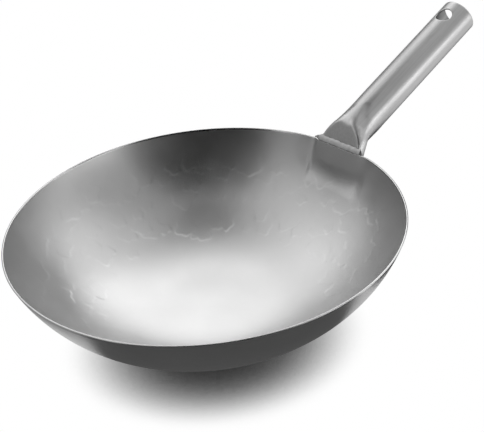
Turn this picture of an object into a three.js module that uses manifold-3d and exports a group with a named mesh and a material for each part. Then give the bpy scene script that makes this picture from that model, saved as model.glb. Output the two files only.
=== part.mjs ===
// Titanium wok: a spun bowl with a flat base, and a tube handle whose end is crushed into a flat tongue.
// The tongue lies on a flat seat pressed into the bowl's wall, and weld beads hold it on all four sides.
// Millimetres, +Z up. The origin is the middle of the base's underside, and the handle points along +X.

import * as THREE from 'three';
import { mergeVertices } from 'three/addons/utils/BufferGeometryUtils.js';
import Module from 'manifold-3d';

const wasm = await Module();
wasm.setup();

const { degToRad, lerp, clamp } = THREE.MathUtils;

// Bowl: a flat base and a wall that is one round arc, tangent to the base.
const rimRadius = 160;
const baseRadius = 42;
const wallThickness = 1.5;
const rimSlope = degToRad(69.5);

// Seat: the flat pressed into the wall at the handle. Its outer face crosses the rim's height at seatRimX.
const seatRimX = 156.2;
const seatHalfWidth = 27.5;
const seatDepth = 25.5;
const seatStep = 3;

// Handle: a straight round tube that rises away from the rim.
const tubeRadius = 16;
const tubeWall = 1.2;
const handleRise = degToRad(21.6);
const handleLength = 173.4;
const axisRimX = 160;
const axisAboveRim = 2.2;
const hangHoleRadius = 7.4;
const hangHoleFromEnd = 17.5;

// Crushed root: the press flattens the tube's top, which leans back above the rim and closes to a tongue
// below it. The flat narrows to a point on top of the tube.
const crushLength = 40;
const crushSpread = 7.3;
const facetSlope = degToRad(65);
const spreadLag = 3;
const flatShare = 0.985;
const flatNarrowing = 1.5;
const squareness = 5;
const squareLag = 12;
const hollowHalfHeight = 3;

// Underside of the root: the two points that pull its curve, one below the tube and one up the tongue's line.
const pullAlong = 12;
const pullBelow = 20;
const pullUpTongue = 31.5;

// Tongue: the closed end that lies on the seat, with rounded lower corners.
const tongueLength = 23.5;
const tongueThickness = 3;
const tongueCorner = 8;

// Weld beads, and the clearance between neighbouring pieces.
const rimWeldHeight = 4.4;
const rimWeldLeftEnd = 29.5;
const rimWeldRightEnd = -25.5;
const rimWeldLeftTaper = 7.5;
const rimWeldRightTaper = 2.5;
const rimWeldTip = 0.2;
const sideWeldStart = 1.3;
const filletLeg = 2.6;
const beadCrown = 0.22;
const gap = 0.3;

// Fineness of the facets.
const plainColumns = 74;
const seatColumns = 6;
const wallRows = 14;
const tubeSteps = 5;
const flatSteps = 18;
const topPoints = 6;
const sidePoints = 8;
const underPoints = 20;
const domeShare = 0.2;
const holeSides = 40;
const rimWeldSteps = 22;
const sideWeldSteps = 8;
const cornerSteps = 6;
const beadSteps = 6;
const mergeDistance = 1e-3;

// Sizes that follow from the ones above.
const wallArc = (rimRadius - baseRadius) / Math.sin(rimSlope);
const rimHeight = wallArc * (1 - Math.cos(rimSlope));
const tongueHalfWidth = tubeRadius + crushSpread;

const alongHandle = new THREE.Vector3(Math.cos(handleRise), 0, Math.sin(handleRise));
const acrossHandle = new THREE.Vector3(-Math.sin(handleRise), 0, Math.cos(handleRise));
const downSeat = new THREE.Vector3(-Math.cos(rimSlope), 0, -Math.sin(rimSlope));
const outOfSeat = new THREE.Vector3(Math.sin(rimSlope), 0, -Math.cos(rimSlope));
const sideways = new THREE.Vector3(0, 1, 0);
const axisStart = new THREE.Vector3(axisRimX, 0, rimHeight + axisAboveRim);

// A point on the handle's axis, with a distance above or below it.
function handlePoint(along, above) {
  return axisStart.clone().addScaledVector(alongHandle, along).addScaledVector(acrossHandle, above);
}

// A point measured on the seat's outer face: sideways, down from the rim, and out from the wall.
function seatPoint(across, down, out) {
  return new THREE.Vector3(seatRimX, across, rimHeight)
    .addScaledVector(downSeat, down)
    .addScaledVector(outOfSeat, out);
}

// A closed solid skinned over rings of points, with each end closed by a fan to the ring's middle.
// The rings turn anticlockwise when seen from the last ring.
function skinRings(rings) {
  const count = rings[0].length;
  const positions = rings.flat().flatMap((point) => point.toArray());
  const faces = [];
  for (let ring = 0; ring + 1 < rings.length; ring++) {
    for (let step = 0; step < count; step++) {
      const a = ring * count + step;
      const b = ring * count + (step + 1) % count;
      faces.push(a, b, b + count, a, b + count, a + count);
    }
  }
  for (const [ring, flip] of [[0, true], [rings.length - 1, false]]) {
    const middle = rings[ring].reduce((sum, point) => sum.add(point), new THREE.Vector3());
    const tip = positions.length / 3;
    positions.push(...middle.divideScalar(count).toArray());
    for (let step = 0; step < count; step++) {
      const a = ring * count + step;
      const b = ring * count + (step + 1) % count;
      faces.push(...(flip ? [b, a, tip] : [a, b, tip]));
    }
  }
  const geometry = new THREE.BufferGeometry();
  geometry.setAttribute('position', new THREE.Float32BufferAttribute(positions, 3));
  geometry.setIndex(faces);
  return geometry;
}

function toSolid(geometry) {
  return new wasm.Manifold(new wasm.Mesh({
    numProp: 3,
    vertProperties: new Float32Array(geometry.attributes.position.array),
    triVerts: new Uint32Array(geometry.index.array),
  }));
}

function toGeometry(solid) {
  const mesh = solid.getMesh();
  const geometry = new THREE.BufferGeometry();
  geometry.setAttribute('position', new THREE.BufferAttribute(mesh.vertProperties, 3));
  geometry.setIndex(new THREE.BufferAttribute(mesh.triVerts, 1));
  return geometry;
}

// A plain box or cylinder, put in place and with its corners shared, so that it can cut.
function cutterSolid(geometry, matrix) {
  geometry.deleteAttribute('normal');
  geometry.deleteAttribute('uv');
  return toSolid(mergeVertices(geometry.applyMatrix4(matrix), mergeDistance));
}

// Bowl

// Radius and height of the wall, at an angle round its arc and an inset from the outer face.
function wallPoint(angle, inset) {
  const radius = baseRadius + (wallArc - inset) * Math.sin(angle);
  return { radius, height: wallArc - (wallArc - inset) * Math.cos(angle) };
}

function wallAngle(height) {
  return Math.acos(1 - height / wallArc);
}

// How far the seat's press has flattened the wall, from 0 beside it to 1 on the flat.
function pressed(across, down) {
  const beside = (Math.abs(across) - seatHalfWidth) / seatStep;
  const below = (down - seatDepth) / seatStep;
  return clamp(1 - beside, 0, 1) * clamp(1 - below, 0, 1);
}

function pressPoint(point, inset, amount) {
  const flatX = seatRimX + (point.z - rimHeight) / Math.tan(rimSlope) - inset / Math.sin(rimSlope);
  point.x = lerp(point.x, flatX, amount);
  return point;
}

// One ring of the bowl. Near the handle its columns keep to straight lines along the seat's edges.
function bowlRing(angle, inset, columns) {
  const { radius, height } = wallPoint(angle, inset);
  const down = rimHeight - wallPoint(angle, 0).height;
  const seatFoot = wallPoint(wallAngle(rimHeight - seatDepth - seatStep), wallThickness).radius;
  return columns.map(({ across, turn }) => {
    const theta = across === undefined ? turn : Math.asin(across / Math.max(radius, seatFoot));
    const point = new THREE.Vector3(radius * Math.cos(theta), radius * Math.sin(theta), height);
    return across === undefined ? point : pressPoint(point, inset, pressed(across, down));
  });
}

function bowlColumns() {
  const edge = seatHalfWidth + seatStep;
  const seatFoot = wallPoint(wallAngle(rimHeight - seatDepth - seatStep), wallThickness).radius;
  const columns = [{ across: -edge }];
  for (let i = 0; i <= seatColumns; i++) {
    columns.push({ across: lerp(-seatHalfWidth, seatHalfWidth, i / seatColumns) });
  }
  columns.push({ across: edge });
  const first = Math.asin(edge / seatFoot);
  const step = (2 * Math.PI - 2 * first) / (plainColumns + 1);
  for (let i = 1; i <= plainColumns; i++) {
    columns.push({ turn: first + i * step });
  }
  return columns;
}

function makeBowl() {
  const angles = Array.from({ length: wallRows + 1 }, (_, row) => rimSlope * row / wallRows);
  angles.push(wallAngle(rimHeight - seatDepth), wallAngle(rimHeight - seatDepth - seatStep));
  angles.sort((a, b) => a - b);
  const columns = bowlColumns();
  const outside = angles.map((angle) => bowlRing(angle, 0, columns));
  const inside = angles.map((angle) => bowlRing(angle, wallThickness, columns)).reverse();
  return skinRings([...outside, ...inside]);
}

// Handle

const flatAtRim = seatPoint(0, 0, gap);
const flatRise = riseToTopLine();
const apexAlong = flatPoint(flatRise).sub(axisStart).dot(alongHandle);
const tongueEnd = seatPoint(0, tongueLength, gap + tongueThickness);

// The tube's bottom line, from the start of the crush to the tongue's outer face.
const bottomLine = new THREE.CubicBezierCurve3(
  handlePoint(crushLength, -tubeRadius),
  handlePoint(pullAlong, -pullBelow),
  tongueEnd.clone().addScaledVector(downSeat, -pullUpTongue),
  tongueEnd,
);

// A point on the flat's middle line, measured up from the rim.
function flatPoint(up) {
  const lean = up > 0 ? facetSlope : rimSlope;
  return new THREE.Vector3(Math.cos(lean), 0, Math.sin(lean)).multiplyScalar(up).add(flatAtRim);
}

// How far up the flat runs before it meets the tube's top line.
function riseToTopLine() {
  const below = handlePoint(0, tubeRadius).sub(flatAtRim).dot(acrossHandle);
  return below / Math.sin(facetSlope - handleRise);
}

// The section between a top and a bottom point. Its top is domed on the tube and flat where it is pressed.
function sectionBetween(top, bottom, pressing) {
  const halfHeight = top.distanceTo(bottom) / 2;
  const crush = clamp(1 - (halfHeight / tubeRadius) ** spreadLag, 0, 1);
  return {
    middle: top.clone().add(bottom).divideScalar(2),
    upward: top.clone().sub(bottom).normalize(),
    halfHeight,
    halfWidth: tubeRadius + crushSpread * crush - pressing.cornerLoss,
    power: 2 + (squareness - 2) * crush ** squareLag,
    domed: pressing.domed,
    flat: pressing.flat,
  };
}

// Share of the width that is flat, and what the tongue's rounded corner takes off, at a place on the flat.
function pressingAt(up, bottom) {
  const narrowed = up > 0 ? Math.sqrt(1 - (up / flatRise) ** flatNarrowing) : 1;
  const down = Math.max(-up, bottom.clone().sub(flatAtRim).dot(downSeat));
  const intoCorner = clamp(down - tongueLength + tongueCorner, 0, tongueCorner);
  const cornerLoss = tongueCorner - Math.sqrt(tongueCorner ** 2 - intoCorner ** 2);
  return { domed: false, flat: flatShare * narrowed, cornerLoss };
}

// Sections of the handle from its free end to the end of the tongue.
function handleSections() {
  const round = { domed: true, flat: domeShare, cornerLoss: 0 };
  const sections = [handleLength, (handleLength + crushLength) / 2, crushLength].map(
    (along) => sectionBetween(handlePoint(along, tubeRadius), handlePoint(along, -tubeRadius), round),
  );
  const topLine = crushLength - apexAlong;
  const whole = topLine + flatRise + tongueLength;
  for (let i = 1; i <= tubeSteps; i++) {
    const travel = topLine * i / tubeSteps;
    const top = handlePoint(crushLength - travel, tubeRadius);
    sections.push(sectionBetween(top, bottomLine.getPoint(travel / whole), round));
  }
  for (let i = 1; i <= flatSteps; i++) {
    const travel = (flatRise + tongueLength) * (1 - Math.cos(Math.PI * i / flatSteps)) / 2;
    const up = flatRise - travel;
    const bottom = bottomLine.getPoint((topLine + travel) / whole);
    sections.push(sectionBetween(flatPoint(up), bottom, pressingAt(up, bottom)));
  }
  return sections;
}

// The outline of a section, drawn in by an inset: down one side, under, up the other side, and over the top.
function sectionRing({ middle, upward, halfHeight, halfWidth, power, domed, flat }, inset) {
  const height = halfHeight - inset;
  const width = halfWidth - inset;
  const arch = domed ? height : height / Math.sqrt(1 - flat ** 2);
  const ridge = Math.acos(flat);
  const bow = (value) => Math.sign(value) * Math.abs(value) ** (2 / power);
  const outline = [];
  for (let i = 0; i < sidePoints; i++) {
    const turn = ridge * (1 - i / sidePoints);
    outline.push([Math.cos(turn), arch * Math.sin(turn)]);
  }
  for (let i = 0; i < underPoints; i++) {
    const turn = Math.PI * i / underPoints;
    outline.push([bow(Math.cos(turn)), -height * bow(Math.sin(turn))]);
  }
  for (let i = 0; i < sidePoints; i++) {
    const turn = ridge * i / sidePoints;
    outline.push([-Math.cos(turn), arch * Math.sin(turn)]);
  }
  for (let i = 0; i < topPoints; i++) {
    const across = flat * (2 * i / topPoints - 1);
    outline.push([across, domed ? arch * Math.sqrt(1 - across ** 2) : height]);
  }
  return outline.map(([across, above]) => middle.clone()
    .addScaledVector(sideways, width * across)
    .addScaledVector(upward, above));
}

// A block whose face lies a distance inside the flat, at the flat's lean.
function flatBlock(lean, inset) {
  const size = 4 * tubeRadius;
  const matrix = new THREE.Matrix4().setPosition(flatAtRim)
    .multiply(new THREE.Matrix4().makeRotationY(Math.PI / 2 - lean))
    .multiply(new THREE.Matrix4().makeTranslation(inset - size / 2, 0, 0));
  return cutterSolid(new THREE.BoxGeometry(size, size, 2 * size), matrix);
}

function hangHoleCutter() {
  const centre = handlePoint(handleLength - hangHoleFromEnd, 0);
  const upright = new THREE.Quaternion().setFromUnitVectors(sideways, acrossHandle);
  const matrix = new THREE.Matrix4().compose(centre, upright, new THREE.Vector3(1, 1, 1));
  const reach = 3 * tubeRadius;
  return cutterSolid(new THREE.CylinderGeometry(hangHoleRadius, hangHoleRadius, reach, holeSides), matrix);
}

function makeHandle() {
  const sections = handleSections();
  const mouth = sections[0];
  const bodyRings = sections.map((section) => sectionRing(section, 0));
  const overshoot = { ...mouth, middle: mouth.middle.clone().addScaledVector(alongHandle, tubeRadius) };
  const hollow = sections.filter(({ halfHeight }) => halfHeight > hollowHalfHeight);
  const boreRings = [overshoot, ...hollow].map((section) => sectionRing(section, tubeWall));
  const bore = toSolid(skinRings(boreRings))
    .subtract(flatBlock(facetSlope, tubeWall))
    .subtract(flatBlock(rimSlope, tubeWall));
  return toGeometry(toSolid(skinRings(bodyRings)).subtract(bore).subtract(hangHoleCutter()));
}

// Welds

// The convex face of a bead between two points, bowed away from its foot.
function beadFace(from, to, foot) {
  const crown = from.clone().add(to).divideScalar(2).sub(foot).multiplyScalar(beadCrown);
  return Array.from({ length: beadSteps + 1 }, (_, i) => {
    const share = i / beadSteps;
    return from.clone().lerp(to, share).addScaledVector(crown, 4 * share * (1 - share));
  });
}

// The rim's outer edge beside the handle, where the press has straightened it.
function rimEdge(across) {
  const round = Math.sqrt(rimRadius ** 2 - across ** 2);
  return new THREE.Vector3(lerp(round, seatRimX, pressed(across, 0)), across, rimHeight);
}

// A section of the rim weld: its foot on the rim's outer edge, one face on the rim and one on the handle.
function rimWeldRing(across, size) {
  const foot = rimEdge(across).addScaledVector(downSeat, -gap);
  const inner = foot.clone().addScaledVector(outOfSeat, -wallThickness * size);
  const rise = rimWeldHeight * size;
  const upper = foot.clone().add(new THREE.Vector3(rise / Math.tan(facetSlope), 0, rise));
  return [foot, ...beadFace(inner, upper, foot)];
}

function makeRimWeld() {
  const rings = Array.from({ length: rimWeldSteps + 1 }, (_, i) => {
    const across = lerp(rimWeldRightEnd, rimWeldLeftEnd, i / rimWeldSteps);
    const fromRight = (across - rimWeldRightEnd) / rimWeldRightTaper;
    const fromLeft = (rimWeldLeftEnd - across) / rimWeldLeftTaper;
    return rimWeldRing(across, lerp(rimWeldTip, 1, Math.min(fromRight, fromLeft, 1)));
  });
  return skinRings(rings);
}

// A fillet section standing on the seat beside the tongue, along an outward direction in the seat's face.
function filletRing(across, down, outAcross, outDown) {
  const at = (out, up) => seatPoint(across + out * outAcross, down + out * outDown, gap + up);
  const foot = at(0, 0);
  return [foot, ...beadFace(at(filletLeg, 0), at(0, filletLeg), foot)];
}

function makeSideWeld(side) {
  const end = tongueLength - tongueCorner - gap;
  const rings = Array.from({ length: sideWeldSteps + 1 }, (_, i) => {
    const down = lerp(sideWeldStart, end, i / sideWeldSteps);
    return filletRing(side * (tongueHalfWidth + gap), down, side, 0);
  });
  return skinRings(side > 0 ? rings : rings.reverse());
}

// The fillet round the tongue's lower end, from corner to corner.
function makeFootWeld() {
  const centre = tongueHalfWidth - tongueCorner;
  const reach = tongueCorner + gap;
  const rings = [];
  for (const side of [1, -1]) {
    for (let i = 0; i <= cornerSteps; i++) {
      const share = side > 0 ? i / cornerSteps : 1 - i / cornerSteps;
      const outAcross = side * Math.cos(Math.PI / 2 * share);
      const outDown = Math.sin(Math.PI / 2 * share);
      const down = tongueLength - tongueCorner + gap + reach * outDown;
      rings.push(filletRing(side * centre + reach * outAcross, down, outAcross, outDown));
    }
  }
  return skinRings(rings);
}

// Assembly

// Bare titanium in its three finishes.
const sheetFinish = { color: 0x9a9b9d, roughness: 0.42, metalness: 1 };
const tubeFinish = { color: 0xa6a7a9, roughness: 0.36, metalness: 1 };
const beadFinish = { color: 0xb2b3b4, roughness: 0.45, metalness: 1 };

const wok = new THREE.Group();

function addPiece(name, geometry, finish) {
  const piece = new THREE.Mesh(geometry, new THREE.MeshStandardMaterial(finish));
  piece.name = name;
  wok.add(piece);
}

addPiece('wok_bowl', makeBowl(), sheetFinish);
addPiece('tube_handle', makeHandle(), tubeFinish);
addPiece('rim_weld', makeRimWeld(), beadFinish);
addPiece('left_side_weld', makeSideWeld(1), beadFinish);
addPiece('right_side_weld', makeSideWeld(-1), beadFinish);
addPiece('foot_weld', makeFootWeld(), beadFinish);

export default wok;
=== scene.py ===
"""Looks of the titanium wok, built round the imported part.

Metres, +Z up. The origin is the middle of the base's underside, and the handle points along +X.
"""
import math

import bmesh
import bpy
import numpy as np
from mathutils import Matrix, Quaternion, Vector


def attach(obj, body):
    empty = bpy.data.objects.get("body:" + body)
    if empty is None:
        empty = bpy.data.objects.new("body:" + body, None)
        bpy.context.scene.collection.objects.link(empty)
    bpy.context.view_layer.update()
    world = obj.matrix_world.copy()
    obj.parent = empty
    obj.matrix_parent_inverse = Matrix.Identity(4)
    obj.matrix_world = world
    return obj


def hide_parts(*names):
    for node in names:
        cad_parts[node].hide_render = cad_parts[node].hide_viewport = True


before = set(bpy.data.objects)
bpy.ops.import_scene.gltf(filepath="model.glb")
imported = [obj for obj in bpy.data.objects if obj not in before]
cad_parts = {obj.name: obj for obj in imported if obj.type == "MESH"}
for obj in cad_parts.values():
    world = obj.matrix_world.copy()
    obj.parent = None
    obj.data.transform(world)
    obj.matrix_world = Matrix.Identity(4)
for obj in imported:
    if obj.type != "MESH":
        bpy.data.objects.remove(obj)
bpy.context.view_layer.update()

MM = 0.001
MERGE_DISTANCE = 0.001 * MM

# Bowl: a flat base that eases into a wall of one round arc.
RIM_RADIUS = 160 * MM
BASE_RADIUS = 42 * MM
SHEET = 1.5 * MM
RIM_SLOPE = math.radians(69.5)
WALL_ARC = (RIM_RADIUS - BASE_RADIUS) / math.sin(RIM_SLOPE)
RIM_HEIGHT = WALL_ARC * (1 - math.cos(RIM_SLOPE))
SHEET_REACH = BASE_RADIUS + WALL_ARC * RIM_SLOPE
BASE_EASE = 9 * MM
LIP_ROUNDING = 0.35 * MM
LIP_SQUARENESS = 4
MIDDLE_CAP = 3 * MM

# Rings of the bowl, and its columns, which are closer together at the seat.
PROFILE_STEPS = 2001
OUTSIDE_ROWS = 60
LIP_ROWS = 7
INSIDE_ROWS = 210
SEAT_TURN = math.radians(15)
SEAT_COLUMNS = 120
WALL_COLUMNS = 720

# Seat: the flat pressed into the wall at the handle, and how far its edges are drawn out.
SEAT_RIM_X = 156.2 * MM
SEAT_HALF_WIDTH = 23.5 * MM
SEAT_LEFT_EASE = 5 * MM
SEAT_RIGHT_EASE = 16 * MM
SEAT_DEPTH = 14.5 * MM
SEAT_FOOT_EASE = 20 * MM

# Ridge that the press leaves on the seat's left: steep toward the seat, and gone sooner down the wall.
RIDGE_SIDE = 31 * MM
RIDGE_HEIGHT = 0.55 * MM
RIDGE_STEP = 2.5 * MM
RIDGE_RAMP = 8 * MM
RIDGE_FADE = 4

# Hammer marks: belts of shallow blows with uneven outlines, inside the wall, at depths below the rim.
BLOW_SEED = 11
BLOW_BELTS = [
    {"below": 31 * MM, "spread": 6 * MM, "count": 76},
    {"below": 64 * MM, "spread": 6 * MM, "count": 56},
    {"below": 48 * MM, "spread": 8 * MM, "count": 40},
]
BLOW_RADIUS = (5.5 * MM, 13 * MM)
BLOW_DEPTH = (0.06 * MM, 0.18 * MM)
BLOW_EDGE = 1.7 * MM
BLOW_JITTER = 0.4
BLOW_LEAN = 0.7
BLOW_WOBBLE = 0.10
BLOW_LOBES = (3, 5)

# Handle: a straight round tube that rises away from the rim.
TUBE_RADIUS = 16 * MM
TUBE_WALL = 1.2 * MM
BORE_RADIUS = TUBE_RADIUS - TUBE_WALL
HANDLE_RISE = math.radians(21.6)
HANDLE_LENGTH = 173.4 * MM
AXIS_START = np.array([160 * MM, 0, RIM_HEIGHT + 2.2 * MM])
HOLE_RADIUS = 7.4 * MM
HOLE_ALONG = HANDLE_LENGTH - 17.5 * MM
HOLE_PATCH = 11.5 * MM
EDGE_ROUNDING = 0.4 * MM
HOLE_ROUNDING = 0.5 * MM
MOUTH_BAND = 2 * MM
BORE_MARGIN = 0.1 * MM
BORE_LEAD = 1 * MM

# Crushed root: the flat on the tube's top, and the tongue that it closes to below the rim.
CRUSH_LENGTH = 40 * MM
CRUSH_SPREAD = 7.3 * MM
SPREAD_LAG = 3
FACET_SLOPE = math.radians(65)
FLAT_SHARE = 0.985
FLAT_NARROWING = 1.5
SQUARENESS = 5
SQUARE_LAG = 12
CORNER_BLUR = 1.6 * MM
BEND_ROUNDS = 20
BEND_LEAD = 10 * MM
BEND_END = 3 * MM
BEND_END_EASE = 6 * MM
PULL_ALONG = 12 * MM
PULL_BELOW = 20 * MM
PULL_UP_TONGUE = 31.5 * MM
TONGUE_LENGTH = 23.5 * MM
TONGUE_THICKNESS = 3 * MM
TONGUE_CORNER = 8 * MM
TONGUE_HALF_WIDTH = TUBE_RADIUS + CRUSH_SPREAD
SEAT_GAP = 0.3 * MM

# Dents of the press: a dimple where the flat ends, and wrinkles beside it.
# Their ends are mm along, beside and above the handle's axis.
CREASES = [
    {"start": (15.5, 2, 16), "end": (14, -3, 15.6), "depth": 0.7, "width": 3.2},
    {"start": (36, -6, 15), "end": (16, -12.5, 12), "depth": 0.45, "width": 2.2},
    {"start": (26, -12, 11), "end": (11, -17.5, 7), "depth": 0.40, "width": 2.0},
    {"start": (32, 7, 15), "end": (15, 13, 11.5), "depth": 0.45, "width": 2.2},
]

# Columns round the handle: over the top, down each side, under. Rows along it, and rings at its edges.
TOP_COLUMNS = 24
SIDE_COLUMNS = 12
UNDER_COLUMNS = 32
HOLE_SHARE = math.sin(math.radians(45))
APEX_SHARE = 0.1
END_ROWS = 5
GRIP_ROWS = 40
CRUSH_ROWS = 30
FLAT_ROWS = 54
EDGE_RINGS = 4
HOLE_RING_SHARES = (1, 0.6, 0.35, 0.15, 0)
OUTLINE_STEPS = 512

# Weld beads: their sizes, their unevenness, and the rings along them.
RIM_BEAD_HEIGHT = 4.4 * MM
RIM_BEAD_WRAP = 0.5 * MM
RIM_BEAD_OVERLAP = 0.1 * MM
RIM_BEAD_ENDS = (-26.5 * MM, 29.5 * MM)
RIM_BEAD_TAPERS = (2.5 * MM, 7.5 * MM)
BEAD_TIP = 0.2
FILLET_LEG = 2.6 * MM
SIDE_BEAD_START = 1.3 * MM
BEAD_CROWN = 0.22
RIPPLE_PITCH = 1.5 * MM
RIPPLE_DEPTH = 0.03
WANDER_PITCHES = (17 * MM, 6.3 * MM)
WANDER_DEPTH = 0.04
RIM_BEAD_RINGS = 160
RIM_BEAD_STEPS = 12
FILLET_STEPS = 9
SIDE_BEAD_RINGS = 60
FOOT_CORNER_RINGS = 40
FOOT_STRAIGHT_RINGS = 60
FOOT_RING_PITCH = 0.4 * MM

# Metal: the greys and the roughness that a noise runs between, and the noises' scales.
NOISE_MIDDLE = (0.3, 0.7)
SHEET_GREYS = (0.47, 0.53)
SHEET_ROUGHNESS = (0.34, 0.42)
SHEET_CLOUDS = 22
SHEET_GRAIN = 900
TUBE_GREYS = (0.44, 0.50)
TUBE_ROUGHNESS = (0.37, 0.43)
TUBE_CLOUDS = 40
TUBE_BRUSHING = 700
BRUSHING_STRETCH = (40, 1, 1)
BEAD_GREYS = (0.34, 0.44)
BEAD_ROUGHNESS = (0.34, 0.46)
BEAD_CLOUDS = 260
FINE_DETAIL = 2
FINE_BUMP = 0.12
BEAD_BUMP = 0.2
BUMP_HEIGHT = 0.2 * MM
# Painted shade: a dark grey base colour over the tube's bore and its hole's wall, standing in for the shade
# inside the tube.
BORE_SHADE_COLOUR = (0.22, 0.22, 0.22, 1)
LIP_ROUGHNESS = 0.2
LIP_POLISH = (1.2 * MM, 0.5 * MM)

# Camera: fitted to the photograph.
CAMERA_PLACE = Vector((-0.4732, -0.6100, 0.5528))
CAMERA_TARGET = Vector((0.0580, 0.0220, 0.0500))
CAMERA_ROLL = math.radians(-5.73)
CAMERA_LENS = 85
SENSOR_WIDTH = 36

# Studio: softboxes, and flags that only the metal sees, by turn and rise round the bowl in degrees.
# Distances, sizes and reaches are metres. A flag's level is 1 where it is white.
SOFTBOXES = [
    {"name": "key_softbox", "turn": 36, "rise": 39.5, "distance": 3.0, "size": (1.9, 1.35), "level": 1.15},
    {"name": "near_softbox", "turn": 70, "rise": 39, "distance": 0.65, "size": (0.32, 0.20), "level": 0.75},
    {"name": "left_softbox", "turn": 100, "rise": 50, "distance": 3.0, "size": (1.3, 1.0), "level": 0.2},
    {"name": "right_softbox", "turn": -10, "rise": 36, "distance": 3.0, "size": (1.3, 1.0), "level": 0.5},
    {"name": "strip_softbox", "turn": -70, "rise": 6, "distance": 3.0, "size": (0.8, 0.6), "level": 2.4},
    {"name": "low_softbox", "turn": -45, "rise": 8, "distance": 0.85, "size": (0.32, 0.19), "level": 1.4},
]
FLAGS = [
    {"name": "front_flag", "turns": (-178, -86), "rises": (0, 68), "level": 0.0},
    {"name": "right_flag", "turns": (-70, -48), "rises": (10, 79), "level": 0.35},
    {"name": "far_right_flag", "turns": (0, 44), "rises": (0, 24), "level": 0.1},
    {"name": "far_flag", "turns": (44, 70), "rises": (0, 20), "level": 0.1},
    {"name": "far_left_flag", "turns": (70, 124), "rises": (0, 15), "level": 0.1},
    {"name": "left_flag", "turns": (124, 172), "rises": (0, 34), "level": 0.35},
    {"name": "top_flag", "turns": (-180, 180), "rises": (74, 89), "level": 0.0},
]
FLAG_DISTANCE = 3.8
FLAG_COLUMNS = 25
FLAG_ROWS = 13
FLOOR_FLAGS = [
    {"name": "front_floor_flag", "turns": (-180, -70), "reaches": (0.06, 1.5), "level": 0.12},
    {"name": "far_floor_flag", "turns": (0, 140), "reaches": (0.165, 1.5), "level": 0.03},
    {"name": "right_floor_flag", "turns": (-60, 0), "reaches": (0.165, 0.30), "level": 0.03},
    {"name": "left_floor_flag", "turns": (140, 180), "reaches": (0.165, 1.5), "level": 0.4},
]
FLOOR_FLAG_HEIGHT = 0.5 * MM
LAMP_WATTS_PER_AREA = 4

# Floor: its paper, and the soft shadow round the bowl's foot, felt for toward two sides.
FLOOR_SIZE = 8
PAPER_COLOUR = (0.8, 0.8, 0.8, 1)
SHADOW_REACH = 0.075
SHADOW_SAMPLES = 48
SHADOW_LEANS = [(0.413, 0.492, 0.766), (-0.413, -0.492, 0.766)]
SHADOW_STOPS = (0.13, 0.47)
SHADOW_GREYS = (0.03, 1.0)

# Directions: along and above the handle, sideways, and down and out of the seat.
ALONG = np.array([math.cos(HANDLE_RISE), 0, math.sin(HANDLE_RISE)])
ACROSS = np.array([-math.sin(HANDLE_RISE), 0, math.cos(HANDLE_RISE)])
SIDEWAYS = np.array([0.0, 1.0, 0.0])
DOWN_SEAT = np.array([-math.cos(RIM_SLOPE), 0, -math.sin(RIM_SLOPE)])
OUT_OF_SEAT = np.array([math.sin(RIM_SLOPE), 0, -math.cos(RIM_SLOPE)])


def smooth_step(share):
    """0 to 1 with level ends."""
    share = np.clip(share, 0, 1)
    return share * share * (3 - 2 * share)


def handle_point(along, side, above):
    """A point by its distance along the handle's axis, sideways, and above the axis."""
    along, side, above = (np.asarray(value)[..., None] for value in (along, side, above))
    return AXIS_START + along * ALONG + side * SIDEWAYS + above * ACROSS


def seat_point(side, down, out):
    """A point by its place on the seat's outer face: sideways, down from the rim, and out from it."""
    corner = np.array([SEAT_RIM_X, 0, RIM_HEIGHT])
    return corner + side * SIDEWAYS + down * DOWN_SEAT + out * OUT_OF_SEAT


def strip_faces(rows, columns, start=0, skip=None):
    """Four-sided faces between rings that close on themselves."""
    faces = []
    for row in range(rows - 1):
        for column in range(columns):
            if skip is None or not skip(row, column):
                a = start + row * columns + column
                b = start + row * columns + (column + 1) % columns
                faces.append((a, b, b + columns, a + columns))
    return faces


def capped_faces(rows, columns):
    """The faces of a row of rings, with one face over each end."""
    last = (rows - 1) * columns
    ends = [tuple(range(columns)), tuple(range(last, last + columns))]
    return strip_faces(rows, columns) + ends


def add_piece(name, node, material, points, faces):
    """A smooth closed mesh that stands for a CAD node and moves with it."""
    mesh = bpy.data.meshes.new(name)
    mesh.from_pydata(np.asarray(points).tolist(), [], faces)
    shell = bmesh.new()
    shell.from_mesh(mesh)
    bmesh.ops.remove_doubles(shell, verts=shell.verts, dist=MERGE_DISTANCE)
    bmesh.ops.recalc_face_normals(shell, faces=shell.faces)
    shell.to_mesh(mesh)
    shell.free()
    mesh.shade_smooth()
    mesh.materials.append(material)
    piece = bpy.data.objects.new(name, mesh)
    bpy.context.scene.collection.objects.link(piece)
    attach(piece, "root")
    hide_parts(node)
    return piece


# Materials

def new_material(name):
    """A material with its nodes, their links and its main shader."""
    material = bpy.data.materials.new(name)
    material.use_nodes = True
    nodes = material.node_tree.nodes
    return material, nodes, material.node_tree.links, nodes["Principled BSDF"]


def add_noise(nodes, links, scale, stretch=(1, 1, 1), turn=0.0, detail=3.0):
    """Noise in the object's own space, stretched along axes turned about Y."""
    place = nodes.new("ShaderNodeTexCoord")
    mapping = nodes.new("ShaderNodeMapping")
    mapping.vector_type = "TEXTURE"
    mapping.inputs["Rotation"].default_value = (0, turn, 0)
    mapping.inputs["Scale"].default_value = stretch
    noise = nodes.new("ShaderNodeTexNoise")
    noise.inputs["Scale"].default_value = scale
    noise.inputs["Detail"].default_value = detail
    links.new(place.outputs["Object"], mapping.inputs["Vector"])
    links.new(mapping.outputs["Vector"], noise.inputs["Vector"])
    return noise.outputs["Fac"]


def add_range(nodes, links, source, low, high):
    """Maps the middle of a noise's values to a range."""
    node = nodes.new("ShaderNodeMapRange")
    node.inputs["From Min"].default_value = NOISE_MIDDLE[0]
    node.inputs["From Max"].default_value = NOISE_MIDDLE[1]
    node.inputs["To Min"].default_value = low
    node.inputs["To Max"].default_value = high
    links.new(source, node.inputs["Value"])
    return node.outputs["Result"]


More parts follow.
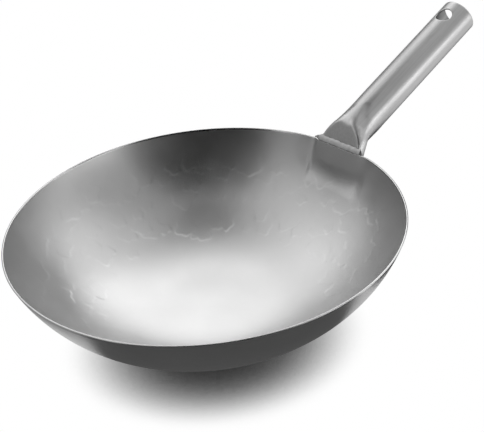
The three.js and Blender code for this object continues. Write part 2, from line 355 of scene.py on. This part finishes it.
def add_greys(nodes, links, source, places, greys, interpolation="LINEAR"):
    """Maps a source's values between two places to two greys."""
    ramp = nodes.new("ShaderNodeValToRGB")
    ramp.color_ramp.interpolation = interpolation
    for stop, place, grey in zip(ramp.color_ramp.elements, places, greys):
        stop.position = place
        stop.color = (grey, grey, grey, 1)
    links.new(source, ramp.inputs["Fac"])
    return ramp.outputs["Color"]


def add_bump(nodes, links, source, strength):
    """Shading of a fine unevenness that is too small to model."""
    bump = nodes.new("ShaderNodeBump")
    bump.inputs["Strength"].default_value = strength
    bump.inputs["Distance"].default_value = BUMP_HEIGHT
    links.new(source, bump.inputs["Height"])
    return bump.outputs["Normal"]


def add_polished_lip(nodes, links, satin):
    """Roughness that drops from the satin sheet's to the polished lip's over the last part of the wall."""
    place = nodes.new("ShaderNodeTexCoord")
    split = nodes.new("ShaderNodeSeparateXYZ")
    share = nodes.new("ShaderNodeMapRange")
    share.inputs["From Min"].default_value = RIM_HEIGHT - LIP_POLISH[0]
    share.inputs["From Max"].default_value = RIM_HEIGHT - LIP_POLISH[1]
    mix = nodes.new("ShaderNodeMix")
    mix.inputs["B"].default_value = LIP_ROUGHNESS
    links.new(place.outputs["Object"], split.inputs["Vector"])
    links.new(split.outputs["Z"], share.inputs["Value"])
    links.new(share.outputs["Result"], mix.inputs["Factor"])
    links.new(satin, mix.inputs["A"])
    return mix.outputs["Result"]


def sheet_titanium():
    """The bowl: satin sheet with a fine even grain and cloudy patches."""
    material, nodes, links, shader = new_material("sheet_titanium")
    shader.inputs["Metallic"].default_value = 1
    clouds = add_noise(nodes, links, SHEET_CLOUDS)
    grain = add_noise(nodes, links, SHEET_GRAIN, detail=FINE_DETAIL)
    links.new(add_greys(nodes, links, clouds, NOISE_MIDDLE, SHEET_GREYS), shader.inputs["Base Color"])
    satin = add_range(nodes, links, clouds, *SHEET_ROUGHNESS)
    links.new(add_polished_lip(nodes, links, satin), shader.inputs["Roughness"])
    links.new(add_bump(nodes, links, grain, FINE_BUMP), shader.inputs["Normal"])
    return material


def tube_titanium():
    """The handle: tube brushed along its length, with painted shade, a dark grey, over its bore and its
    hole's wall.
    """
    material, nodes, links, shader = new_material("tube_titanium")
    shader.inputs["Metallic"].default_value = 1
    brushing = add_noise(nodes, links, TUBE_BRUSHING, BRUSHING_STRETCH, -HANDLE_RISE, FINE_DETAIL)
    clouds = add_noise(nodes, links, TUBE_CLOUDS)
    bore = nodes.new("ShaderNodeAttribute")
    bore.attribute_name = "bore"
    # Painted shade: where the bore attribute is 1, the base colour turns to the dark grey of the tube's
    # shaded inside.
    painted_bore_shade = nodes.new("ShaderNodeMix")
    painted_bore_shade.data_type = "RGBA"
    painted_bore_shade.inputs["B"].default_value = BORE_SHADE_COLOUR
    links.new(bore.outputs["Fac"], painted_bore_shade.inputs["Factor"])
    links.new(add_greys(nodes, links, brushing, NOISE_MIDDLE, TUBE_GREYS), painted_bore_shade.inputs["A"])
    links.new(painted_bore_shade.outputs["Result"], shader.inputs["Base Color"])
    links.new(add_range(nodes, links, clouds, *TUBE_ROUGHNESS), shader.inputs["Roughness"])
    links.new(add_bump(nodes, links, brushing, FINE_BUMP), shader.inputs["Normal"])
    return material


def bead_titanium():
    """The weld beads: a little darker than the sheet, with small uneven patches."""
    material, nodes, links, shader = new_material("bead_titanium")
    shader.inputs["Metallic"].default_value = 1
    clouds = add_noise(nodes, links, BEAD_CLOUDS)
    links.new(add_greys(nodes, links, clouds, NOISE_MIDDLE, BEAD_GREYS), shader.inputs["Base Color"])
    links.new(add_range(nodes, links, clouds, *BEAD_ROUGHNESS), shader.inputs["Roughness"])
    links.new(add_bump(nodes, links, clouds, BEAD_BUMP), shader.inputs["Normal"])
    return material


# Bowl

def bowl_profile(travel):
    """The outer face's radius, height and slope, by distance from the base's middle along the sheet."""
    fine = np.linspace(0, SHEET_REACH, PROFILE_STEPS)
    slope = BASE_EASE / WALL_ARC * np.log1p(np.exp((fine - BASE_RADIUS) / BASE_EASE))
    between = (slope[1:] + slope[:-1]) / 2
    radius = np.concatenate([[0], np.cumsum(np.cos(between))])
    height = np.concatenate([[0], np.cumsum(np.sin(between))])
    radius *= RIM_RADIUS / radius[-1]
    height *= RIM_HEIGHT / height[-1]
    return np.interp(travel, fine, radius), np.interp(travel, fine, height), np.interp(travel, fine, slope)


def bowl_columns():
    """Turns round the bowl, closer together at the seat's creases."""
    near = np.linspace(-SEAT_TURN, SEAT_TURN, SEAT_COLUMNS, endpoint=False)
    far = np.linspace(SEAT_TURN, 2 * math.pi - SEAT_TURN, WALL_COLUMNS, endpoint=False)
    return np.concatenate([near, far])


def bowl_rows():
    """Each ring's distance along the sheet and its depth into it.

    The rings go up the outside, over the lip and down the inside.
    """
    outside = np.linspace(MIDDLE_CAP, SHEET_REACH - LIP_ROUNDING, OUTSIDE_ROWS)
    inside = np.linspace(SHEET_REACH - LIP_ROUNDING, MIDDLE_CAP, INSIDE_ROWS)
    over = (1 - np.cos(np.linspace(0, math.pi, LIP_ROWS + 2)[1:-1])) / 2
    lip = SHEET_REACH - LIP_ROUNDING * (2 * over - 1) ** LIP_SQUARENESS
    travel = np.concatenate([outside, lip, inside])
    inset = np.concatenate([0 * outside, SHEET * over, 0 * inside + SHEET])
    return travel, inset


def blow_depth(chance, sideways, downward, reach):
    """How deep one leaning blow goes, by the way from its middle in shares of its reach."""
    deepest = chance.uniform(*BLOW_DEPTH)
    lean = chance.uniform(-BLOW_LEAN, BLOW_LEAN)
    start = chance.uniform(0, 2 * math.pi)
    bearing = np.arctan2(downward, sideways)
    wobble = np.sin(BLOW_LOBES[0] * bearing + start) + np.sin(BLOW_LOBES[1] * bearing - 2 * start)
    outline = 1 + BLOW_WOBBLE * wobble
    inside = smooth_step((outline - np.hypot(sideways, downward)) * reach / BLOW_EDGE)
    tilt = 0.5 + 0.5 * (downward * math.cos(lean) + sideways * math.sin(lean))
    return deepest * inside * np.clip(tilt, 0, 1)


def hammer_depth(travel, turn):
    """How deep the hammer's blows go, over a grid of distances along the sheet and turns."""
    chance = np.random.default_rng(BLOW_SEED)
    radius, height, _ = bowl_profile(travel)
    depth = np.zeros((len(travel), len(turn)))
    for belt in BLOW_BELTS:
        for index in range(belt["count"]):
            below = belt["below"] + chance.uniform(-1, 1) * belt["spread"]
            blow_travel = np.interp(RIM_HEIGHT - below, height[::-1], travel[::-1])
            blow_ring = np.interp(RIM_HEIGHT - below, height[::-1], radius[::-1])
            jitter = chance.uniform(-BLOW_JITTER, BLOW_JITTER)
            blow_turn = 2 * math.pi * (index + jitter) / belt["count"]
            reach = chance.uniform(*BLOW_RADIUS)
            away = (turn - blow_turn + math.pi) % (2 * math.pi) - math.pi
            sideways = (away * blow_ring / reach)[None, :]
            downward = ((blow_travel - travel) / reach)[:, None]
            depth = np.maximum(depth, blow_depth(chance, sideways, downward, reach))
    return depth


def seat_share(side):
    """How far the press has gone across the seat: 1 on its flat, 0 beside it."""
    ease = np.where(side > 0, SEAT_LEFT_EASE, SEAT_RIGHT_EASE)
    return smooth_step(1 - (np.abs(side) - SEAT_HALF_WIDTH) / ease)


def press_seat(points, inset):
    """Moves the wall onto the seat's flat, and raises the ridge that the press leaves on the left."""
    side = points[..., 1]
    down = smooth_step((SEAT_DEPTH + SEAT_FOOT_EASE - RIM_HEIGHT + points[..., 2]) / SEAT_FOOT_EASE)
    down *= points[..., 0] > 0
    flat = SEAT_RIM_X + (points[..., 2] - RIM_HEIGHT) / math.tan(RIM_SLOPE) - inset / math.sin(RIM_SLOPE)
    width = np.where(side < RIDGE_SIDE, RIDGE_STEP, RIDGE_RAMP)
    ridge = RIDGE_HEIGHT * np.exp(-((side - RIDGE_SIDE) / width) ** 2)
    points[..., 0] += down * seat_share(side) * (flat - points[..., 0]) - down ** RIDGE_FADE * ridge


def make_bowl(material):
    """The sheet, revolved as one closed skin, hammered inside and pressed at the seat."""
    travel, inset = bowl_rows()
    turn = bowl_columns()
    inset = np.repeat(inset[:, None], len(turn), axis=1)
    inset[-INSIDE_ROWS:] -= hammer_depth(travel[-INSIDE_ROWS:], turn)
    radius, height, slope = (value[:, None] for value in bowl_profile(travel))
    ring = radius - inset * np.sin(slope)
    points = np.stack([ring * np.cos(turn), ring * np.sin(turn), height + inset * np.cos(slope)], axis=-1)
    press_seat(points, inset)
    faces = capped_faces(*points.shape[:2])
    add_piece("bowl_shell", "wok_bowl", material, points.reshape(-1, 3), faces)


# Handle

FLAT_AT_RIM = seat_point(0, 0, SEAT_GAP)
TONGUE_END = seat_point(0, TONGUE_LENGTH, SEAT_GAP + TONGUE_THICKNESS)
TUBE_TOP = handle_point(0, 0, TUBE_RADIUS)
FLAT_RISE = ((TUBE_TOP - FLAT_AT_RIM) @ ACROSS) / math.sin(FACET_SLOPE - HANDLE_RISE)
FLAT_LINE = FLAT_RISE + TONGUE_LENGTH
UNDERSIDE = [
    handle_point(CRUSH_LENGTH, 0, -TUBE_RADIUS),
    handle_point(PULL_ALONG, 0, -PULL_BELOW),
    TONGUE_END - PULL_UP_TONGUE * DOWN_SEAT,
    TONGUE_END,
]


def flat_point(up):
    """A point on the flat's middle line, measured up from the rim."""
    lean = FACET_SLOPE if up > 0 else RIM_SLOPE
    return FLAT_AT_RIM + up * np.array([math.cos(lean), 0, math.sin(lean)])


APEX_ALONG = float((flat_point(FLAT_RISE) - AXIS_START) @ ALONG)
TOP_LINE = CRUSH_LENGTH - APEX_ALONG


def underside_point(share):
    """A point on the curve under the root, from the start of the crush to the tongue's end."""
    rest = 1 - share
    weights = (rest ** 3, 3 * rest ** 2 * share, 3 * rest * share ** 2, share ** 3)
    return sum(weight * point for weight, point in zip(weights, UNDERSIDE))


def bow(value, power):
    """One coordinate of a rounded square."""
    return np.sign(value) * np.abs(value) ** (2 / power)


def section_ring(top, bottom, share, domed, corner_loss=0.0):
    """The outline between a top and a bottom point.

    It goes down one side, under, up the other side and over the top.
    """
    half_height = np.linalg.norm(top - bottom) / 2
    crush = min(max(1 - (half_height / TUBE_RADIUS) ** SPREAD_LAG, 0), 1)
    half_width = TUBE_RADIUS + CRUSH_SPREAD * crush - corner_loss
    power = 2 + (SQUARENESS - 2) * crush ** SQUARE_LAG
    arch = half_height if domed else half_height / math.sqrt(1 - share ** 2)
    side = math.acos(share) * np.arange(SIDE_COLUMNS + 1) / SIDE_COLUMNS
    under = math.pi * np.arange(UNDER_COLUMNS) / UNDER_COLUMNS
    over = share * (2 * np.arange(TOP_COLUMNS) / TOP_COLUMNS - 1)
    crown = arch * np.sqrt(1 - over ** 2) if domed else half_height + 0 * over
    falling, rising = side[:0:-1], side[:-1]
    across = np.concatenate([np.cos(falling), bow(np.cos(under), power), -np.cos(rising), over])
    below = -half_height * bow(np.sin(under), power)
    above = np.concatenate([arch * np.sin(falling), below, arch * np.sin(rising), crown])
    upward = (top - bottom) / np.linalg.norm(top - bottom)
    return (top + bottom) / 2 + half_width * across[:, None] * SIDEWAYS + above[:, None] * upward


def top_share(along):
    """The share of the tube's width that the top columns span, wide at the hole and narrow at the apex."""
    ease = smooth_step((along - APEX_ALONG) / (HOLE_ALONG - HOLE_PATCH - APEX_ALONG))
    return float(APEX_SHARE + (HOLE_SHARE - APEX_SHARE) * ease)


def tube_ring(along, radius):
    """A round section of the straight tube."""
    top = handle_point(along, 0, TUBE_RADIUS)
    bottom = handle_point(along, 0, -TUBE_RADIUS)
    middle = handle_point(along, 0, 0)
    return middle + (section_ring(top, bottom, top_share(along), True) - middle) * radius / TUBE_RADIUS


def corner_loss(up, bottom):
    """What the tongue's rounded lower corner takes off its half width."""
    down = max(-up, (bottom - FLAT_AT_RIM) @ DOWN_SEAT)
    into = min(max(down - TONGUE_LENGTH + TONGUE_CORNER, 0), TONGUE_CORNER)
    return TONGUE_CORNER - math.sqrt(TONGUE_CORNER ** 2 - into ** 2)


def crush_ring(travel):
    """A section of the root, by distance along its top from the start of the crush."""
    bottom = underside_point(travel / (TOP_LINE + FLAT_LINE))
    if travel <= TOP_LINE:
        along = CRUSH_LENGTH - travel
        return section_ring(handle_point(along, 0, TUBE_RADIUS), bottom, top_share(along), True)
    up = FLAT_RISE - (travel - TOP_LINE)
    share = FLAT_SHARE * math.sqrt(1 - max(up / FLAT_RISE, 0) ** FLAT_NARROWING)
    return section_ring(flat_point(up), bottom, max(share, APEX_SHARE), False, corner_loss(up, bottom))


def tube_rows():
    """Distances along the straight tube, from its mouth to the start of the crush."""
    near_end = np.linspace(HANDLE_LENGTH - EDGE_ROUNDING, HOLE_ALONG + HOLE_PATCH, END_ROWS + 1)
    at_hole = np.linspace(HOLE_ALONG + HOLE_PATCH, HOLE_ALONG - HOLE_PATCH, TOP_COLUMNS + 1)
    grip = np.linspace(HOLE_ALONG - HOLE_PATCH, CRUSH_LENGTH, GRIP_ROWS + 1)
    return np.concatenate([near_end, at_hole[1:], grip[1:]])


def root_rows():
    """Distances along the root's top, from the start of the crush to the tongue's end."""
    crush = np.linspace(0, TOP_LINE, CRUSH_ROWS + 1)
    flat = np.linspace(TOP_LINE, TOP_LINE + FLAT_LINE, FLAT_ROWS + 1)
    return np.concatenate([crush[1:], flat[1:]])


def round_corners(ring):
    """Blurs a closed outline along its own length, which rounds its corners."""
    steps = np.linalg.norm(np.roll(ring, -1, 0) - ring, axis=1)
    place = np.concatenate([[0], np.cumsum(steps)])
    even = np.linspace(0, place[-1], OUTLINE_STEPS, endpoint=False)
    closed = np.vstack([ring, ring[:1]])
    waves = np.fft.rfft([np.interp(even, place, axis) for axis in closed.T], axis=1)
    turns = 2 * math.pi * np.arange(waves.shape[1]) / place[-1]
    blurred = np.fft.irfft(waves * np.exp(-(turns * CORNER_BLUR) ** 2 / 2), OUTLINE_STEPS, axis=1)
    return np.stack([np.interp(place[:-1], even, axis, period=place[-1]) for axis in blurred], axis=1)


def soften(grid, travel):
    """Rounds the bends that the press leaves in the skin, down to just above the rim."""
    into = smooth_step((travel + BEND_LEAD) / BEND_LEAD)
    above_rim = smooth_step((TOP_LINE + FLAT_RISE - BEND_END - travel) / BEND_END_EASE)
    weight = (into * above_rim)[:, None, None]
    for _ in range(BEND_ROUNDS):
        mean = (np.roll(grid, 1, 0) + np.roll(grid, -1, 0)) / 2
        grid = grid + 0.5 * weight * (mean - grid)
    rounded = np.array([round_corners(ring) for ring in grid])
    return grid + weight * (rounded - grid)


def crease_depth(points, crease):
    """How far a crease presses the skin in, by distance from its line."""
    start = handle_point(*(np.array(crease["start"]) * MM))
    line = handle_point(*(np.array(crease["end"]) * MM)) - start
    share = np.clip((points - start) @ line / (line @ line), 0, 1)
    away = np.linalg.norm(points - start - share[..., None] * line, axis=-1)
    return crease["depth"] * MM * np.exp(-(away / (crease["width"] * MM)) ** 2)


def press_creases(points):
    """Pushes the skin in along the creases."""
    round_section = np.roll(points, -1, axis=1) - np.roll(points, 1, axis=1)
    normal = np.cross(np.gradient(points, axis=0), round_section)
    normal /= np.linalg.norm(normal, axis=-1, keepdims=True) + 1e-12
    outward = points - points.mean(axis=1, keepdims=True)
    normal *= np.sign((normal * outward).sum(axis=-1, keepdims=True))
    depth = sum(crease_depth(points, crease) for crease in CREASES)
    return points - depth[..., None] * normal


def lip_rings():
    """The rounded edge at the tube's mouth, from its outside to its bore."""
    turn = np.linspace(0, math.pi / 2, EDGE_RINGS)
    along = HANDLE_LENGTH - EDGE_ROUNDING * (1 - np.sin(turn))
    inward = EDGE_ROUNDING * (1 - np.cos(turn))
    outer = [tube_ring(a, TUBE_RADIUS - i) for a, i in zip(along, inward)]
    inner = [tube_ring(a, BORE_RADIUS + i) for a, i in zip(along, inward)]
    return outer + inner[::-1]


def hole_border(first_row, first_column, columns, width):
    """Row and column of each point round the square left for a hole."""
    rows = range(first_row, first_row + TOP_COLUMNS)
    right = first_column + columns
    border = [(first_row, c) for c in range(first_column, right)]
    border += [(r, right) for r in rows]
    border += [(first_row + TOP_COLUMNS, c) for c in range(right, first_column, -1)]
    border += [(r + 1, first_column) for r in reversed(rows)]
    return [(r, c % width) for r, c in border]


def hole_skin(border, radius, sink, above):
    """Rings over one skin of the tube, from the square's border to the hole's rounded edge."""
    along = (border - AXIS_START) @ ALONG - HOLE_ALONG
    side = border[:, 1]
    turn = np.arctan2(side, along)
    spots = []
    for share in HOLE_RING_SHARES:
        reach = (HOLE_RADIUS + HOLE_ROUNDING) * (1 - share)
        spots.append((reach * np.cos(turn) + along * share, reach * np.sin(turn) + side * share, 0))
    for bend in np.linspace(0, math.pi / 2, EDGE_RINGS)[1:]:
        reach = HOLE_RADIUS + HOLE_ROUNDING * (1 - math.sin(bend))
        spots.append((reach * np.cos(turn), reach * np.sin(turn), sink * (1 - math.cos(bend))))
    rings = []
    for spot_along, spot_side, drop in spots:
        height = np.sqrt(radius ** 2 - spot_side ** 2) - drop
        rings.append(handle_point(HOLE_ALONG + spot_along, spot_side, above * height))
    return rings


def hole_rings(outer, inner, border, above):
    """Rings from the outer skin's square, through the drilled hole, to the square in the bore's skin."""
    outside = hole_skin(np.array([outer[place] for place in border]), TUBE_RADIUS, HOLE_ROUNDING, above)
    inside = hole_skin(np.array([inner[place] for place in border]), BORE_RADIUS, -EDGE_ROUNDING, above)
    return np.array(outside + inside[::-1])


def mark_bore_shade(piece):
    """Marks the inside of the tube and the wall of its hole, where the tube's material paints shade in a
    dark grey.
    """
    mesh = piece.data
    from_start = np.array([vertex.co for vertex in mesh.vertices]) - AXIS_START
    along = from_start @ ALONG
    away = np.hypot(from_start @ SIDEWAYS, from_start @ ACROSS)
    reach = np.where(along > HANDLE_LENGTH - MOUTH_BAND, BORE_RADIUS, TUBE_RADIUS - HOLE_ROUNDING)
    inside = (along > CRUSH_LENGTH - BORE_LEAD) & (away < reach + BORE_MARGIN)
    mesh.attributes.new("bore", "FLOAT", "POINT").data.foreach_set("value", inside.astype(np.float32))


def make_handle(material):
    """One closed skin: outside, crushed root, rounded mouth, bore, and the hole through both walls."""
    tube, root = tube_rows(), root_rows()
    outer = np.array([tube_ring(along, TUBE_RADIUS) for along in tube] + [crush_ring(t) for t in root])
    outer = press_creases(soften(outer, np.concatenate([CRUSH_LENGTH - tube, root])))
    inner = np.array([tube_ring(along, BORE_RADIUS) for along in tube])
    width = outer.shape[1]
    top = 2 * SIDE_COLUMNS + UNDER_COLUMNS
    under = SIDE_COLUMNS + UNDER_COLUMNS // 4
    under_columns = UNDER_COLUMNS // 2

    def at_hole(row, column):
        in_rows = END_ROWS <= row < END_ROWS + TOP_COLUMNS
        return in_rows and (column >= top or under <= column < under + under_columns)

    strips = [
        (outer, at_hole),
        (inner, at_hole),
        (np.array(lip_rings()), None),
        (hole_rings(outer, inner, hole_border(END_ROWS, top, TOP_COLUMNS, width), 1), None),
        (hole_rings(outer, inner, hole_border(END_ROWS, under, under_columns, width), -1), None),
    ]
    points, faces = [], []
    for grid, skip in strips:
        faces += strip_faces(grid.shape[0], grid.shape[1], len(points), skip)
        points += list(grid.reshape(-1, 3))
    outer_end = (len(outer) - 1) * width
    inner_end = (len(outer) + len(inner) - 1) * width
    faces += [tuple(range(end, end + width)) for end in (outer_end, inner_end)]
    mark_bore_shade(add_piece("handle_tube", "tube_handle", material, points, faces))


# Welds

def bead_face(start, end, foot, steps):
    """The convex face of a bead between two points, bowed away from its foot."""
    crown = ((start + end) / 2 - foot) * BEAD_CROWN
    share = np.linspace(0, 1, steps)[:, None]
    return start * (1 - share) + end * share + 4 * share * (1 - share) * crown


def ripple(distance):
    """The size of a bead, rising and falling with the welder's steps and with an unsteady hand."""
    wander = sum(np.sin(2 * math.pi * distance / pitch) for pitch in WANDER_PITCHES)
    return 1 + RIPPLE_DEPTH * np.cos(2 * math.pi * distance / RIPPLE_PITCH) + WANDER_DEPTH * wander


def add_bead(name, node, material, rings):
    """A weld bead from the sections along it."""
    rings = np.array(rings)
    faces = capped_faces(*rings.shape[:2])
    add_piece(name, node, material, rings.reshape(-1, 3), faces)


def rim_edge(side):
    """The rim's outer edge beside the handle, where the press has straightened it."""
    round_x = math.sqrt(RIM_RADIUS ** 2 - side ** 2)
    return np.array([round_x + seat_share(side) * (SEAT_RIM_X - round_x), side, RIM_HEIGHT])


def make_rim_bead(material):
    """The bead along the rim, between the lip and the handle's flat, tapering to both ends."""
    rings = []
    for side in np.linspace(*RIM_BEAD_ENDS, RIM_BEAD_RINGS):
        from_right = (side - RIM_BEAD_ENDS[0]) / RIM_BEAD_TAPERS[0]
        from_left = (RIM_BEAD_ENDS[1] - side) / RIM_BEAD_TAPERS[1]
        size = (BEAD_TIP + (1 - BEAD_TIP) * min(from_right, from_left, 1)) * ripple(side)
        foot = rim_edge(side)
        rise = RIM_BEAD_HEIGHT * size
        inner = foot - OUT_OF_SEAT * (SHEET + RIM_BEAD_OVERLAP) * size + DOWN_SEAT * RIM_BEAD_WRAP * size
        upper = foot + np.array([rise / math.tan(FACET_SLOPE), 0, rise])
        rings.append([foot, *bead_face(inner, upper, foot, RIM_BEAD_STEPS)])
    add_bead("rim_bead", "rim_weld", material, rings)


def fillet_ring(side, down, out_side, out_down, size):
    """A fillet section standing on the seat beside the tongue."""
    leg = FILLET_LEG * size
    foot = seat_point(side, down, 0)
    out = seat_point(side + leg * out_side, down + leg * out_down, 0)
    up = seat_point(side, down, leg)
    return [foot, *bead_face(out, up, foot, FILLET_STEPS)]


def make_side_bead(side, name, node, material):
    """The straight bead down one side of the tongue."""
    downs = np.linspace(SIDE_BEAD_START, TONGUE_LENGTH - TONGUE_CORNER, SIDE_BEAD_RINGS)
    rings = [fillet_ring(side * TONGUE_HALF_WIDTH, down, side, 0, ripple(down)) for down in downs]
    add_bead(name, node, material, rings)


def make_foot_bead(material):
    """The bead round the tongue's lower end: a corner, a straight run and a corner."""
    centre = TONGUE_HALF_WIDTH - TONGUE_CORNER
    corner = np.linspace(0, 90, FOOT_CORNER_RINGS)
    straight = np.linspace(1, -1, FOOT_STRAIGHT_RINGS + 2)[1:-1]
    turns = np.concatenate([corner, 90 + 0 * straight, 90 + corner])
    sides = centre * np.concatenate([1 + 0 * corner, straight, -1 - 0 * corner])
    rings = []
    travel = 0.0
    for turn, side in zip(np.radians(turns), sides):
        out_side, out_down = math.cos(turn), math.sin(turn)
        travel += FOOT_RING_PITCH
        down = TONGUE_LENGTH - TONGUE_CORNER + TONGUE_CORNER * out_down
        rings.append(fillet_ring(side + TONGUE_CORNER * out_side, down, out_side, out_down, ripple(travel)))
    add_bead("foot_bead", "foot_weld", material, rings)


# Studio

def add_seen_rays(nodes, links):
    """1 for rays from the camera and for those that metal or glass sends on, else 0."""
    path = nodes.new("ShaderNodeLightPath")
    total = path.outputs["Is Camera Ray"]
    for name in ("Is Glossy Ray", "Is Transmission Ray"):
        add = nodes.new("ShaderNodeMath")
        add.operation = "MAXIMUM"
        links.new(total, add.inputs[0])
        links.new(path.outputs[name], add.inputs[1])
        total = add.outputs[0]
    return total


def add_nearness(nodes, links, lean):
    """How open the floor is to one side: 1 far from the bowl, less where the bowl stands over it."""
    near = nodes.new("ShaderNodeAmbientOcclusion")
    near.samples = SHADOW_SAMPLES
    near.inputs["Distance"].default_value = SHADOW_REACH
    toward = nodes.new("ShaderNodeCombineXYZ")
    for socket, value in zip(toward.inputs, lean):
        socket.default_value = value
    links.new(toward.outputs["Vector"], near.inputs["Normal"])
    return near.outputs["AO"]


def add_floor():
    """White paper that shows the soft shadow where the bowl stands close to it."""
    bpy.ops.mesh.primitive_plane_add(size=FLOOR_SIZE)
    floor = bpy.context.object
    floor.name = "floor"
    material, nodes, links, shader = new_material("floor_paper")
    shader.inputs["Base Color"].default_value = PAPER_COLOUR
    shader.inputs["Roughness"].default_value = 1
    nearest = nodes.new("ShaderNodeMath")
    nearest.operation = "MINIMUM"
    for socket, lean in zip(nearest.inputs, SHADOW_LEANS):
        links.new(add_nearness(nodes, links, lean), socket)
    shade = add_greys(nodes, links, nearest.outputs["Value"], SHADOW_STOPS, SHADOW_GREYS, "EASE")
    glow = nodes.new("ShaderNodeEmission")
    mix = nodes.new("ShaderNodeMixShader")
    links.new(shade, glow.inputs["Color"])
    links.new(add_seen_rays(nodes, links), mix.inputs["Fac"])
    links.new(shader.outputs["BSDF"], mix.inputs[1])
    links.new(glow.outputs["Emission"], mix.inputs[2])
    links.new(mix.outputs["Shader"], nodes["Material Output"].inputs["Surface"])
    floor.data.materials.append(material)


def set_world():
    """White all round."""
    world = bpy.data.worlds.new("studio")
    bpy.context.scene.world = world
    world.use_nodes = True
    background = world.node_tree.nodes["Background"]
    background.inputs["Color"].default_value = (1, 1, 1, 1)
    background.inputs["Strength"].default_value = 1


def round_bowl(turn, rise, distance):
    """A place round the bowl, by its turn and rise in degrees and its distance."""
    turn, rise = math.radians(turn), math.radians(rise)
    level = math.cos(rise)
    return distance * Vector((level * math.cos(turn), level * math.sin(turn), math.sin(rise)))


def add_softbox(name, turn, rise, distance, size, level):
    """An area lamp that shows in the metal at a level above the white world's."""
    lamp = bpy.data.lights.new(name, "AREA")
    lamp.shape = "RECTANGLE"
    lamp.size, lamp.size_y = size
    lamp.energy = LAMP_WATTS_PER_AREA * level * lamp.size * lamp.size_y
    softbox = bpy.data.objects.new(name, lamp)
    softbox.location = round_bowl(turn, rise, distance)
    softbox.rotation_euler = (-softbox.location).to_track_quat("-Z", "Y").to_euler()
    softbox.visible_camera = False
    bpy.context.scene.collection.objects.link(softbox)


def flag_cloth(level):
    """Cloth that shows in the metal at a level, where 1 is white."""
    material, _, _, shader = new_material("flag_cloth")
    shader.inputs["Base Color"].default_value = (0, 0, 0, 1)
    shader.inputs["Specular IOR Level"].default_value = 0
    shader.inputs["Emission Color"].default_value = (level, level, level, 1)
    shader.inputs["Emission Strength"].default_value = 1
    return material


def add_flag(name, level, points, rows, columns):
    """A sheet of cloth that is seen in the metal only."""
    mesh = bpy.data.meshes.new(name)
    faces = []
    for row in range(rows - 1):
        for column in range(columns - 1):
            corner = row * columns + column
            faces.append((corner, corner + 1, corner + columns + 1, corner + columns))
    mesh.from_pydata(points, [], faces)
    mesh.materials.append(flag_cloth(level))
    flag = bpy.data.objects.new(name, mesh)
    flag.visible_camera = False
    flag.visible_diffuse = False
    flag.visible_shadow = False
    bpy.context.scene.collection.objects.link(flag)


def add_flags():
    """The flags that stand round the bowl, and those that lie on the floor."""
    for flag in FLAGS:
        turns = np.linspace(*flag["turns"], FLAG_COLUMNS)
        rises = np.linspace(*flag["rises"], FLAG_ROWS)
        points = [round_bowl(turn, rise, FLAG_DISTANCE) for rise in rises for turn in turns]
        add_flag(flag["name"], flag["level"], points, len(rises), len(turns))
    for flag in FLOOR_FLAGS:
        turns = np.linspace(*flag["turns"], FLAG_COLUMNS)
        lift = Vector((0, 0, FLOOR_FLAG_HEIGHT))
        points = [round_bowl(turn, 0, reach) + lift for reach in flag["reaches"] for turn in turns]
        add_flag(flag["name"], flag["level"], points, len(flag["reaches"]), len(turns))


def add_camera():
    """The camera at the photograph's place, aimed and rolled as it was."""
    data = bpy.data.cameras.new("camera")
    data.lens = CAMERA_LENS
    data.sensor_width = SENSOR_WIDTH
    data.sensor_fit = "HORIZONTAL"
    camera = bpy.data.objects.new("camera", data)
    camera.location = CAMERA_PLACE
    aim = (CAMERA_TARGET - CAMERA_PLACE).to_track_quat("-Z", "Y")
    camera.rotation_mode = "QUATERNION"
    camera.rotation_quaternion = aim @ Quaternion((0, 0, 1), CAMERA_ROLL)
    bpy.context.scene.collection.objects.link(camera)
    bpy.context.scene.camera = camera


sheet = sheet_titanium()
tube = tube_titanium()
bead = bead_titanium()
make_bowl(sheet)
make_handle(tube)
make_rim_bead(bead)
make_side_bead(1, "left_side_bead", "left_side_weld", bead)
make_side_bead(-1, "right_side_bead", "right_side_weld", bead)
make_foot_bead(bead)
add_floor()
add_flags()
for softbox in SOFTBOXES:
    add_softbox(**softbox)
set_world()
add_camera()
bpy.context.scene.view_settings.view_transform = "Standard"
